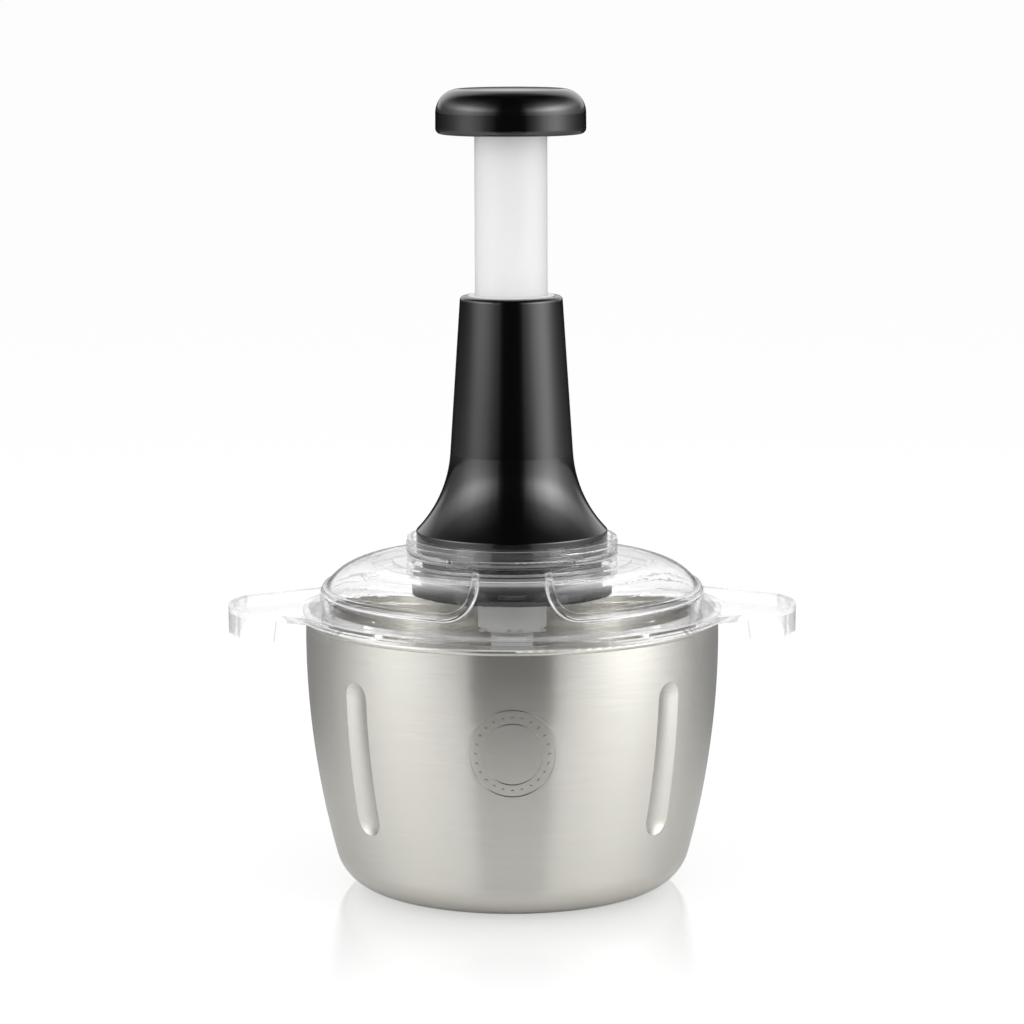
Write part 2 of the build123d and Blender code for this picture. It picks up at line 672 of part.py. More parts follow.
# Each lip is the outer part of its ear's rim wall, ending in a slanted edge.
ear_plane = Plane.XY.offset(flange_top_z)
with BuildPart() as ear_lips:
    for side in (-1, 1):
        extrude(ear_plane * ear_rim_outline(side), amount=-EAR_LIP_DEPTH)
    with BuildSketch(Plane.XZ) as lip_view:
        for side in (-1, 1):
            with BuildLine() as lip_edge:
                Polyline(
                    (side * EAR_LIP_START_X, flange_top_z),
                    (side * EAR_REACH, flange_top_z),
                    (side * EAR_REACH, ear_lip_bottom_z),
                    (side * (EAR_LIP_START_X + EAR_LIP_SLANT), ear_lip_bottom_z),
                    close=True,
                )
            make_face(lip_edge.edges())
    extrude(lip_view.sketch, amount=EAR_ROOT_HALF_WIDTH, both=True, mode=Mode.INTERSECT)

with BuildPart() as lid:
    add_lid_drum(0, lid_seat_z)
    add(lid_beads.part)
    add_ring(lid_seat_z, flange_top_z, LID_FLANGE_RADIUS)
    for side in (-1, 1):
        extrude(ear_plane * ear_outline(side), amount=-EAR_THICKNESS)
    add(ear_lips.part)
    add_ring(LID_TOP_Z, COLLAR_TOP_Z, COLLAR_RADIUS)
    add_ring(LID_TOP_Z, LID_TOP_Z + COLLAR_FOOT_HEIGHT, COLLAR_FOOT_RADIUS)
    with BuildSketch(Plane.XZ) as ribs:
        for index in range(COLLAR_RIB_COUNT):
            with Locations((COLLAR_RADIUS, COLLAR_RIB_LOW_Z + index * COLLAR_RIB_PITCH)):
                Circle(COLLAR_RIB_HEIGHT)
    revolve(ribs.sketch, Axis.Z)
    add_lid_drum(LID_WALL, lid_seat_z, mode=Mode.SUBTRACT)
    skirt_bottom_z, skirt_bore = lid_seat_z - LID_SKIRT_DEPTH, skirt_radius - LID_SKIRT_WALL
    add_ring(skirt_bottom_z, lid_seat_z, skirt_radius, skirt_bore)
    add_ring(LID_TOP_Z - LID_WALL, COLLAR_TOP_Z, collar_bore, mode=Mode.SUBTRACT)
    add_ring(ledge_bottom_z, LEDGE_TOP_Z, COLLAR_RADIUS, LEDGE_INNER_RADIUS)
    add_studs(
        ledge_bottom_z,
        LEDGE_TOP_Z,
        SCREW_RADIUS + LOOSE_FIT,
        SCREW_CIRCLE_RADIUS,
        SCREW_COUNT,
        SCREW_START_ANGLE,
        mode=Mode.SUBTRACT,
    )


# --- Head: housing, guide and base --------------------------------------------------------
def add_housing_body(inset, top_z, mode=Mode.ADD):
    """Add the housing's solid body, drawn in from its outside."""
    with BuildSketch(Plane.XZ) as section:
        with BuildLine():
            housing_outline(inset, top_z)
        make_face()
    revolve(section.sketch, Axis.Z, mode=mode)


# The two keys that stop the plunger turning, and the screw bosses, grow out of the wall.
with BuildPart() as housing_ribs:
    with BuildSketch(Plane.XY.offset(key_low_z)) as keys:
        for side in (-1, 1):
            with Locations((0, side * (key_inner_radius + HOUSING_BAND_RADIUS) / 2)):
                Rectangle(KEY_WIDTH, HOUSING_BAND_RADIUS - key_inner_radius)
    extrude(keys.sketch, amount=lip_bottom_z - key_low_z)
    add_studs(
        LEDGE_TOP_Z,
        HOUSING_BOSS_TOP_Z,
        SCREW_POST_RADIUS,
        SCREW_CIRCLE_RADIUS,
        SCREW_COUNT,
        SCREW_START_ANGLE,
    )
    add_housing_body(HOUSING_WALL / 2, HOUSING_TOP_Z, mode=Mode.INTERSECT)

with BuildPart() as housing:
    add_housing_body(0, HOUSING_TOP_Z)
    fillet(housing.edges().group_by(Axis.Z)[-1], HOUSING_TOP_ROUND)
    add_housing_body(HOUSING_WALL, lip_bottom_z, mode=Mode.SUBTRACT)
    lip_bore = TUBE_RADIUS + HOUSING_LIP_CLEARANCE
    add_ring(lip_bottom_z, guide_bottom_z, lip_bore, mode=Mode.SUBTRACT)
    add_ring(guide_bottom_z, HOUSING_TOP_Z, guide_outer_radius + LOOSE_FIT, mode=Mode.SUBTRACT)
    add(housing_ribs.part)
    add_studs(
        LEDGE_TOP_Z,
        HOUSING_BOSS_TOP_Z - HOUSING_BOSS_CAP,
        SCREW_RADIUS + RUNNING_FIT,
        SCREW_CIRCLE_RADIUS,
        SCREW_COUNT,
        SCREW_START_ANGLE,
        mode=Mode.SUBTRACT,
    )

with BuildPart() as guide_ring:
    guide_top_z = HOUSING_TOP_Z + GUIDE_PROUD
    add_ring(guide_bottom_z, guide_top_z, guide_outer_radius, TUBE_RADIUS + RUNNING_FIT)
    fillet(guide_ring.edges().group_by(Axis.Z)[-1], GUIDE_PROUD / 2)

with BuildPart() as base_cap:
    base_disc_top_z = BASE_BOTTOM_Z + BASE_DISC_HEIGHT
    add_ring(BASE_BOTTOM_Z, base_disc_top_z, BASE_RADIUS)
    fillet(base_cap.edges().filter_by(GeomType.CIRCLE), BASE_EDGE_ROUND)
    add_ring(base_disc_top_z, ledge_bottom_z, BASE_NECK_RADIUS)
    base_floor_z = BASE_BOTTOM_Z + BASE_FLOOR
    add_ring(base_floor_z, ledge_bottom_z, BASE_NECK_RADIUS - BASE_WALL, mode=Mode.SUBTRACT)
    add_ring(base_floor_z, bush_top_z, BASE_BOSS_RADIUS)
    base_posts = (SCREW_CIRCLE_RADIUS, SCREW_COUNT, SCREW_START_ANGLE)
    cup_posts = (CUP_SCREW_CIRCLE_RADIUS, CUP_SCREW_COUNT, CUP_SCREW_START_ANGLE)
    add_studs(base_floor_z, ledge_bottom_z, SCREW_POST_RADIUS, *base_posts)
    add_studs(base_floor_z, CUP_FLANGE_Z, CUP_POST_RADIUS, *cup_posts)
    screw_hole, head_hole = SCREW_RADIUS + LOOSE_FIT, SCREW_HEAD_RADIUS + SEAT_GAP
    add_studs(BASE_BOTTOM_Z, ledge_bottom_z, screw_hole, *base_posts, mode=Mode.SUBTRACT)
    head_seat_z = BASE_BOTTOM_Z + SCREW_HEAD_HEIGHT + SCREW_HEAD_INSET
    add_studs(BASE_BOTTOM_Z, head_seat_z, head_hole, *base_posts, mode=Mode.SUBTRACT)
    cup_hole_z = cup_flange_top_z - CUP_SCREW_LENGTH - SEAT_GAP
    cup_hole = CUP_SCREW_RADIUS + RUNNING_FIT
    add_studs(cup_hole_z, CUP_FLANGE_Z, cup_hole, *cup_posts, mode=Mode.SUBTRACT)
    add_ring(BASE_BOTTOM_Z, bush_top_z, output_bush_radius + PIN_FIT, mode=Mode.SUBTRACT)

with BuildPart() as base_screws:
    add_screws(
        BASE_BOTTOM_Z + SCREW_HEAD_INSET,
        SCREW_RADIUS,
        SCREW_HEAD_RADIUS,
        SCREW_HEAD_HEIGHT,
        SCREW_LENGTH,
        *base_posts,
    )

# --- Output driver and clutch -------------------------------------------------------------
with BuildPart() as output_bush:
    add_ring(BASE_BOTTOM_Z, bush_top_z, output_bush_radius, journal_bore)

with BuildPart() as driver_washer:
    add_ring(
        bush_top_z,
        bush_top_z + WASHER_THICKNESS,
        BASE_BOSS_RADIUS,
        DRIVER_JOURNAL_RADIUS + LOOSE_FIT,
    )

with BuildPart() as output_driver:
    add_hexagon(BASE_BOTTOM_Z - DRIVER_HEX_LENGTH, BASE_BOTTOM_Z, DRIVER_HEX)
    add_ring(BASE_BOTTOM_Z, driver_flange_z, DRIVER_JOURNAL_RADIUS)
    driver_flange_top_z = driver_flange_z + DRIVER_FLANGE_THICKNESS
    add_ring(driver_flange_z, driver_flange_top_z, DRIVER_FLANGE_RADIUS)
    add_hexagon(driver_flange_top_z, ring_top_z - LOOSE_FIT, CLUTCH_HEX)
    chamfer(output_driver.faces().sort_by(Axis.Z)[0].edges(), DRIVER_HEX_CHAMFER)

with BuildPart() as clutch_ring:
    add_ring(ring_bottom_z, ring_top_z, HUB_RADIUS)
    add_ratchet_teeth(ring_top_z, upward=True)
    clutch_bore = CLUTCH_HEX + 2 * CLUTCH_HEX_CLEARANCE
    add_hexagon(ring_bottom_z, ring_top_z, clutch_bore, mode=Mode.SUBTRACT)

with BuildPart() as clutch_spring:
    add_coil(
        driver_flange_top_z + SPRING_SEAT_GAP,
        ring_bottom_z - SPRING_SEAT_GAP,
        CLUTCH_MEAN_RADIUS,
        CLUTCH_WIRE,
        CLUTCH_TURNS,
    )

with BuildPart() as ratchet_hub:
    add_ring(hub_bottom_z, hub_bottom_z + HUB_HEIGHT, HUB_RADIUS)
    add_ratchet_teeth(hub_bottom_z - TOOTH_HEIGHT, upward=False, turn=-TOOTH_BACKLASH)
    slot_low, slot_high = STRIP_BOTTOM_Z - PIN_FIT, hub_bottom_z + HUB_HEIGHT + CUT_PAST
    add_twisted_strip(slot_low, slot_high, PIN_FIT, mode=Mode.SUBTRACT)
    with BuildSketch(Plane.XZ) as pin_hole:
        with Locations((0, PIN_Z)):
            Circle(PIN_RADIUS + PIN_FIT)
    extrude(pin_hole.sketch, amount=HUB_RADIUS, both=True, mode=Mode.SUBTRACT)

with BuildPart() as spiral_rod:
    add_twisted_strip(STRIP_BOTTOM_Z, STRIP_TOP_Z)
    extrude(pin_hole.sketch, amount=HUB_RADIUS, both=True, mode=Mode.SUBTRACT)

with BuildPart() as rod_pin:
    with BuildSketch(Plane.XZ) as pin_section:
        with Locations((0, PIN_Z)):
            Circle(PIN_RADIUS)
    extrude(pin_section.sketch, amount=HUB_RADIUS - SEAT_GAP, both=True)

# --- Clutch cup and return spring ---------------------------------------------------------
with BuildPart() as clutch_cup:
    add_ring(CUP_FLANGE_Z, cup_flange_top_z, CUP_FLANGE_RADIUS)
    add_ring(CUP_FLANGE_Z, cup_top_z, cup_bore + CUP_WALL)
    add_ring(CUP_FLANGE_Z, cup_top_z - CUP_TOP_THICKNESS, cup_bore, mode=Mode.SUBTRACT)
    rod_hole = STRIP_WIDTH / 2 + CUP_BORE_CLEARANCE
    add_ring(CUP_FLANGE_Z, cup_top_z, rod_hole, mode=Mode.SUBTRACT)
    cup_hole = CUP_SCREW_RADIUS + LOOSE_FIT
    add_studs(CUP_FLANGE_Z, cup_flange_top_z, cup_hole, *cup_posts, mode=Mode.SUBTRACT)

with BuildPart() as cup_screws:
    add_screws(
        cup_flange_top_z + CUP_SCREW_HEAD_HEIGHT,
        CUP_SCREW_RADIUS,
        CUP_SCREW_HEAD_RADIUS,
        CUP_SCREW_HEAD_HEIGHT,
        CUP_SCREW_LENGTH,
        *cup_posts,
        flip=-1,
    )

with BuildPart() as return_spring:
    add_coil(
        cup_flange_top_z + SPRING_SEAT_GAP,
        retainer_bottom_z - SPRING_SEAT_GAP,
        RETURN_MEAN_RADIUS,
        RETURN_WIRE,
        RETURN_TURNS,
    )

# --- Plunger ------------------------------------------------------------------------------
def cut_key_slots(low, high):
    """Cut the two slots that run on the housing's keys."""
    inner = key_inner_radius - KEY_CLEARANCE
    with BuildSketch(Plane.XY.offset(low)) as slots:
        for side in (-1, 1):
            with Locations((0, side * (inner + TUBE_FLANGE_RADIUS) / 2)):
                Rectangle(KEY_WIDTH + 2 * KEY_CLEARANCE, TUBE_FLANGE_RADIUS - inner)
    extrude(slots.sketch, amount=high - low, mode=Mode.SUBTRACT)


def add_nut_body(low, high, growth=0.0, mode=Mode.ADD):
    """Add the drive nut's round body with its two flats, grown by a clearance."""
    with BuildSketch(Plane.XY.offset(low)) as section:
        Circle(NUT_RADIUS + growth)
        Rectangle(2 * (NUT_RADIUS + growth), 2 * (NUT_FLAT + growth), mode=Mode.INTERSECT)
    extrude(section.sketch, amount=high - low, mode=mode)


retainer_holes = (RETAINER_SCREW_CIRCLE_RADIUS, RETAINER_SCREW_COUNT, 0)

with BuildPart() as plunger_tube:
    add_ring(tube_bottom_z, TUBE_TOP_Z, TUBE_RADIUS)
    add_ring(tube_bottom_z, tube_flange_top_z, TUBE_FLANGE_RADIUS)
    add_ring(tube_bottom_z, TUBE_TOP_Z - TUBE_CROWN, tube_bore, mode=Mode.SUBTRACT)
    add_nut_body(tube_bottom_z, tube_bottom_z + NUT_LENGTH, PIN_FIT, mode=Mode.SUBTRACT)
    cut_key_slots(tube_bottom_z, tube_flange_top_z)
    add_studs(
        tube_bottom_z,
        retainer_bottom_z + RETAINER_SCREW_HEAD_HEIGHT + RETAINER_SCREW_LENGTH,
        RETAINER_SCREW_RADIUS + PIN_FIT,
        *retainer_holes,
        mode=Mode.SUBTRACT,
    )
    add_ring(bolt_bottom_z, TUBE_TOP_Z, BOLT_RADIUS + RUNNING_FIT, mode=Mode.SUBTRACT)

with BuildPart() as drive_nut:
    nut_top_z = tube_bottom_z + NUT_LENGTH
    add_nut_body(tube_bottom_z, nut_top_z)
    add_twisted_strip(tube_bottom_z - CUT_PAST, nut_top_z + CUT_PAST, NUT_FIT, Mode.SUBTRACT)

with BuildPart() as nut_retainer:
    add_ring(retainer_bottom_z, tube_bottom_z, TUBE_FLANGE_RADIUS, RETAINER_BORE)
    cut_key_slots(retainer_bottom_z, tube_bottom_z)
    head_top_z = retainer_bottom_z + RETAINER_SCREW_HEAD_HEIGHT
    shank_hole = RETAINER_SCREW_RADIUS + LOOSE_FIT
    head_hole = RETAINER_SCREW_HEAD_RADIUS + LOOSE_FIT
    add_studs(retainer_bottom_z, tube_bottom_z, shank_hole, *retainer_holes, mode=Mode.SUBTRACT)
    add_studs(retainer_bottom_z, head_top_z, head_hole, *retainer_holes, mode=Mode.SUBTRACT)

with BuildPart() as retainer_screws:
    add_screws(
        retainer_bottom_z,
        RETAINER_SCREW_RADIUS,
        RETAINER_SCREW_HEAD_RADIUS,
        RETAINER_SCREW_HEAD_HEIGHT,
        RETAINER_SCREW_LENGTH,
        *retainer_holes,
    )

# --- Knob ---------------------------------------------------------------------------------
with BuildPart() as knob_insert:
    insert_hub_radius = TUBE_RADIUS + LOOSE_FIT + INSERT_HUB_WALL
    add_ring(knob_insert_z, insert_flange_top_z, knob_cavity_radius - LOOSE_FIT)
    add_ring(knob_insert_z, insert_top_z, insert_hub_radius)
    add_ring(knob_insert_z, TUBE_TOP_Z, TUBE_RADIUS + LOOSE_FIT, mode=Mode.SUBTRACT)
    add_ring(TUBE_TOP_Z, insert_top_z, BOLT_RADIUS + LOOSE_FIT, mode=Mode.SUBTRACT)

with BuildPart() as knob_bolt:
    bolt_top_z = insert_top_z + BOLT_HEAD_HEIGHT
    add_ring(bolt_bottom_z, insert_top_z, BOLT_RADIUS)
    add_ring(insert_top_z, bolt_top_z, BOLT_HEAD_RADIUS)
    add_hexagon(bolt_top_z - BOLT_HEAD_HEIGHT / 2, bolt_top_z, BOLT_SOCKET, mode=Mode.SUBTRACT)

with BuildPart() as knob_cap:
    with BuildSketch(Plane.XZ) as knob_section:
        with BuildLine():
            edge_top = (KNOB_RADIUS - KNOB_DRAFT, KNOB_TOP_Z - KNOB_CROWN)
            edge_bottom, centre_top = (KNOB_RADIUS, KNOB_BOTTOM_Z), (0, KNOB_TOP_Z)
            Polyline(edge_top, edge_bottom, (0, KNOB_BOTTOM_Z), centre_top)
            crown_middle = (KNOB_RADIUS / 2, KNOB_TOP_Z - KNOB_CROWN / 4)
            ThreePointArc(centre_top, crown_middle, edge_top)
        make_face()
        fillet(knob_section.vertices().sort_by(Axis.X)[-2], KNOB_TOP_ROUND)
        fillet(knob_section.vertices().sort_by(Axis.X)[-1], KNOB_BOTTOM_ROUND)
    revolve(knob_section.sketch, Axis.Z)
    add_ring(KNOB_BOTTOM_Z, insert_flange_top_z, knob_cavity_radius, mode=Mode.SUBTRACT)
    add_ring(
        insert_flange_top_z,
        KNOB_TOP_Z - KNOB_WALL,
        knob_cavity_radius - KNOB_SHOULDER,
        mode=Mode.SUBTRACT,
    )
    fillet(knob_cap.edges(Select.LAST).sort_by(Axis.Z)[-1], KNOB_CAVITY_ROUND)

# --- Written nodes ------------------------------------------------------------------------
nodes = {
    "bowl": bowl,
    "pivot_pin": pivot_pin,
    "blade_spindle": blade_spindle,
    "pivot_bush": pivot_bush,
    "blade_lower": blades["lower"],
    "spacer_lower": spacers["lower"],
    "blade_middle": blades["middle"],
    "spacer_upper": spacers["upper"],
    "blade_upper": blades["upper"],
    "blade_nut": blade_nut,
    "lid": lid,
    "housing": housing,
    "guide_ring": guide_ring,
    "base_cap": base_cap,
    "base_screws": base_screws,
    "output_bush": output_bush,
    "driver_washer": driver_washer,
    "output_driver": output_driver,
    "clutch_ring": clutch_ring,
    "clutch_spring": clutch_spring,
    "ratchet_hub": ratchet_hub,
    "spiral_rod": spiral_rod,
    "rod_pin": rod_pin,
    "clutch_cup": clutch_cup,
    "cup_screws": cup_screws,
    "return_spring": return_spring,
    "plunger_tube": plunger_tube,
    "drive_nut": drive_nut,
    "nut_retainer": nut_retainer,
    "retainer_screws": retainer_screws,
    "knob_insert": knob_insert,
    "knob_bolt": knob_bolt,
    "knob_cap": knob_cap,
}

os.makedirs("parts", exist_ok=True)
for name, node in nodes.items():
    node.part.label = name
    export_step(node.part, f"parts/{name}.step")
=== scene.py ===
"""Looks of the hand-pressed food chopper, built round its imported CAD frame. Metres, +Z up."""

import math

import bmesh
import bpy
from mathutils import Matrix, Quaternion, Vector


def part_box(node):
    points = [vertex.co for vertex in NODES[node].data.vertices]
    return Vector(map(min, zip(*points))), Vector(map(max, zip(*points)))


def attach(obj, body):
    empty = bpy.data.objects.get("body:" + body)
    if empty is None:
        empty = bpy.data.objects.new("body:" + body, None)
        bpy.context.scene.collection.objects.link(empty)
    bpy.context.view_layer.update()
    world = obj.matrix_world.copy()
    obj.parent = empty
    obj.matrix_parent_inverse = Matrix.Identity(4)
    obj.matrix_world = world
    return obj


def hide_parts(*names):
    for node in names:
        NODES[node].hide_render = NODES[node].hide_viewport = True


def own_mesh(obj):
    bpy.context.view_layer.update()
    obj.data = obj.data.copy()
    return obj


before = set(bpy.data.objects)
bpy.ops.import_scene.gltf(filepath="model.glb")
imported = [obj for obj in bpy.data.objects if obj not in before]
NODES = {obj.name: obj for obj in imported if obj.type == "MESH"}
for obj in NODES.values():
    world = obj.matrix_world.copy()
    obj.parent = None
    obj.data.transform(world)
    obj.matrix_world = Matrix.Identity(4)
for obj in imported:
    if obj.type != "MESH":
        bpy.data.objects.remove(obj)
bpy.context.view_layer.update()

# --- Camera: fitted to the ellipses of the bowl, the lid and the knob ---------------------
FOCAL_PIXELS = 3663.0
IMAGE_PIXELS = 1024.0
SENSOR_MM = 36.0
CLIP_NEAR = 0.05
CLIP_FAR = 200.0
CAMERA_ELEVATION = math.radians(8.67)
CAMERA_DISTANCE = 1.4652
LOOK_AT = Vector((0.00006, 0.0, 0.1504))
CAMERA_ROLL = math.radians(-0.165)


def add_camera():
    data = bpy.data.cameras.new("camera")
    data.sensor_width = SENSOR_MM
    data.lens = FOCAL_PIXELS / IMAGE_PIXELS * SENSOR_MM
    data.clip_start = CLIP_NEAR
    data.clip_end = CLIP_FAR
    camera = bpy.data.objects.new("camera", data)
    outwards = Vector((0, -math.cos(CAMERA_ELEVATION), math.sin(CAMERA_ELEVATION)))
    camera.location = LOOK_AT + CAMERA_DISTANCE * outwards
    aim = (-outwards).to_track_quat("-Z", "Y") @ Quaternion((0, 0, 1), CAMERA_ROLL)
    camera.rotation_euler = aim.to_euler()
    bpy.context.scene.collection.objects.link(camera)
    bpy.context.scene.camera = camera


# --- Node helpers -------------------------------------------------------------------------
# The colour sockets of Blender's Mix node, which keeps its number and vector sockets too.
MIX_FACTOR, MIX_A, MIX_B, MIX_RESULT = 0, 6, 7, 2


class Graph:
    """A small wrapper that adds nodes to a tree and links them as it goes."""

    def __init__(self, tree):
        self.tree = tree

    def add(self, kind, **values):
        """Add a node, and give each value to its property or its input of that name."""
        node = self.tree.nodes.new(kind)
        for name, value in values.items():
            if hasattr(node, name) and name not in node.inputs:
                setattr(node, name, value)
            else:
                self.put(node.inputs[name], value)
        return node

    def put(self, socket, value):
        """Link a socket, or a node's first output, to an input. Any other value is set on it."""
        if isinstance(value, bpy.types.NodeSocket):
            self.tree.links.new(value, socket)
        elif isinstance(value, bpy.types.Node):
            self.tree.links.new(value.outputs[0], socket)
        else:
            socket.default_value = value

    def put_all(self, node, values):
        """Link or set a node's inputs by name."""
        for name, value in values.items():
            self.put(node.inputs[name], value)

    def in_order(self, node, values):
        """Link or set a node's first inputs in their order, and return its first output."""
        for socket, value in zip(node.inputs, values):
            self.put(socket, value)
        return node.outputs[0]

    def math(self, operation, *values):
        return self.in_order(self.add("ShaderNodeMath", operation=operation), values)

    def product(self, first, *others):
        """Multiply numbers together."""
        for other in others:
            first = self.math("MULTIPLY", first, other)
        return first

    def ramp(self, fac, stops):
        """A colour ramp from (place, grey or colour) pairs."""
        node = self.add("ShaderNodeValToRGB", Fac=fac)
        elements = node.color_ramp.elements
        while len(elements) < len(stops):
            elements.new(0.5)
        for element, (place, shade) in zip(elements, stops):
            element.position = place
            element.color = grey(shade) if isinstance(shade, (int, float)) else colour(*shade)
        return node.outputs["Color"]

    def noise(self, coordinates, stretch, detail=2.0, roughness=0.5):
        """Noise whose grain is stretched: a larger number is a finer grain that way."""
        place = self.add("ShaderNodeMapping", Vector=coordinates, Scale=stretch)
        node = self.add("ShaderNodeTexNoise", Vector=place, Scale=1.0, Detail=detail, Roughness=roughness)
        return node.outputs["Fac"]

    def span(self, value, low, high, start=0.0, end=1.0):
        """Map start..end to low..high, and hold it there beyond them."""
        node = self.add("ShaderNodeMapRange", Value=value)
        self.put_all(node, {"From Min": start, "From Max": end, "To Min": low, "To Max": high})
        return node.outputs["Result"]

    def mix(self, factor, a, b):
        """Mix two colours."""
        node = self.add("ShaderNodeMix", data_type="RGBA")
        for index, value in ((MIX_FACTOR, factor), (MIX_A, a), (MIX_B, b)):
            self.put(node.inputs[index], value)
        return node.outputs[MIX_RESULT]

    def mix_shaders(self, factor, a, b):
        return self.in_order(self.add("ShaderNodeMixShader"), (factor, a, b))

    def bump(self, height, distance, strength):
        node = self.add("ShaderNodeBump", Height=height, Distance=distance, Strength=strength)
        return node.outputs["Normal"]

    def azimuth(self, separated):
        """The way round of separated coordinates: 0 on the camera's side, 1 at the back."""
        towards = self.product(separated.outputs["Y"], -1.0)
        angle = self.math("ARCTAN2", separated.outputs["X"], towards)
        return self.math("DIVIDE", self.math("ABSOLUTE", angle), math.pi)


def colour(*rgb):
    return tuple(rgb) + (1.0,)


def grey(level):
    return colour(level, level, level)


def new_material(name):
    """A material with an empty Principled shader, its graph, and its object coordinates."""
    material = bpy.data.materials.new(name)
    material.use_nodes = True
    graph = Graph(material.node_tree)
    shader = material.node_tree.nodes["Principled BSDF"]
    place = graph.add("ShaderNodeTexCoord").outputs["Object"]
    return material, graph, shader, place


def dress(material, *names):
    """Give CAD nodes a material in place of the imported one."""
    for name in names:
        NODES[name].data.materials.clear()
        NODES[name].data.materials.append(material)


# --- Materials ----------------------------------------------------------------------------
# How high the grain stands, in metres.
STEEL_GRAIN = 0.00001
PLASTIC_GRAIN = 0.000004

BRUSHED_DULL = (0.63, 0.617, 0.572)
BRUSHED_BRIGHT = (0.68, 0.667, 0.622)
FINE_SHARE = 0.8
BROAD_SHARE = 0.2


def bowl_steel():
    """Satin steel, brushed round the bowl, so its grain is fine up the wall and long round it."""
    material, g, shader, place = new_material("brushed_bowl_steel")
    fine = g.noise(place, (60, 60, 2600), detail=3, roughness=0.6)
    broad = g.noise(place, (14, 14, 420), detail=2)
    cloud = g.noise(place, (18, 18, 22), detail=3)
    streak = g.math("ADD", g.product(fine, FINE_SHARE), g.product(broad, BROAD_SHARE))
    g.put_all(shader, {
        "Base Color": g.ramp(streak, [(0.3, BRUSHED_DULL), (0.7, BRUSHED_BRIGHT)]),
        "Roughness": g.math("ADD", g.span(streak, 0.225, 0.255), g.span(cloud, -0.01, 0.01)),
        "Normal": g.bump(fine, STEEL_GRAIN, 0.2),
        "Metallic": 1.0,
        "Anisotropic": 0.85,
        "Anisotropic Rotation": 0.25,
        "Tangent": g.add("ShaderNodeTangent", direction_type="RADIAL", axis="Z"),
    })
    return material


def plain_steel(name, base, rough, stretch):
    """Drawn, ground, plated or sintered metal, whose grain is as fine as stretch says."""
    material, g, shader, place = new_material(name)
    grain = g.noise(place, stretch, detail=3)
    dark = [0.82 * value for value in base]
    g.put_all(shader, {
        "Base Color": g.ramp(grain, [(0.3, dark), (0.7, base)]),
        "Roughness": g.span(grain, *rough),
        "Normal": g.bump(grain, STEEL_GRAIN, 0.4),
        "Metallic": 1.0,
    })
    return material


def plastic(name, base, rough, speck=0.08, subsurface=0.0, index=1.5):
    """Moulded plastic: a faint uneven gloss and a very fine moulded grain."""
    material, g, shader, place = new_material(name)
    flow = g.noise(place, (40, 40, 25), detail=3)
    grain = g.noise(place, (1500, 1500, 1500), detail=1)
    dark = [(1 - speck) * value for value in base]
    g.put_all(shader, {
        "Base Color": g.ramp(flow, [(0.35, dark), (0.65, base)]),
        "Roughness": g.span(flow, *rough),
        "Normal": g.bump(grain, PLASTIC_GRAIN, 0.25),
        "IOR": index,
    })
    if subsurface:
        g.put_all(shader, {
            "Subsurface Weight": subsurface,
            "Subsurface Radius": (0.006, 0.006, 0.006),
            "Subsurface Scale": 1.0,
        })
    return material


# How many surfaces a ray goes through before it goes straight on.
MANY_SURFACES = 5.5
# Layer Weight's Facing, from where the plastic starts to thin out to where it is clearest.
SILHOUETTE_START = 0.76
SILHOUETTE_END = 0.98
SILHOUETTE_CLEAR = 0.7
# How much painted reflection a bounced view ray takes in: an emission, no lamp, standing in for bright
# reflections.
PAINTED_GLOW_SHARE = 0.25


def clear_plastic():
    """Clear moulded plastic. Lamps shine through it, so what it covers is lit.

    It thins out at its silhouette and after many surfaces, where the studio's white shows. A
    view ray that was reflected behind the first surface takes in a faint painted reflection where
    it next meets the plastic: an emission, no lamp, that stands in for bright reflections.
    """
    material, g, shader, place = new_material("clear_moulded_plastic")
    flow = g.noise(place, (25, 25, 40), detail=2)
    g.put_all(shader, {
        "Base Color": colour(0.96, 0.96, 0.965),
        "Transmission Weight": 1.0,
        "IOR": 1.49,
        "Roughness": g.span(flow, 0.0, 0.01),
    })
    path = g.add("ShaderNodeLightPath").outputs
    lighting = g.math("MAXIMUM", path["Is Shadow Ray"], path["Is Diffuse Ray"])
    deep = g.math("GREATER_THAN", path["Transmission Depth"], MANY_SURFACES)
    facing = g.add("ShaderNodeLayerWeight", Blend=0.5).outputs["Facing"]
    edge = g.span(facing, 0.0, SILHOUETTE_CLEAR, start=SILHOUETTE_START, end=SILHOUETTE_END)
    through = g.math("MAXIMUM", g.math("MAXIMUM", lighting, deep), edge)
    nothing = g.add("ShaderNodeBsdfTransparent", Color=grey(0.985))
    thinned = g.mix_shaders(through, shader, nothing)
    within = g.math("COMPARE", path["Transmission Depth"], 1.0, 0.1)
    bounced = g.product(within, g.math("GREATER_THAN", path["Glossy Depth"], 0.5))
    # Painted reflection: an emission, no lamp, that stands in for bright reflections in the plastic.
    painted_glow = g.add("ShaderNodeEmission", Color=colour(0.9, 0.9, 0.91), Strength=1.0)
    surface = g.mix_shaders(g.product(bounced, PAINTED_GLOW_SHARE), thinned, painted_glow)
    g.put(material.node_tree.nodes["Material Output"].inputs["Surface"], surface)
    return material


# --- Stage: floor, lamps and world --------------------------------------------------------
# In its ramps, around is the azimuth from the camera's side (0) to the back (1), and above is
# the height from straight down (0) over the horizon (0.5) to straight up (1).
SEEN_WHITE = 0.985
LIGHTING_GREY = 0.8

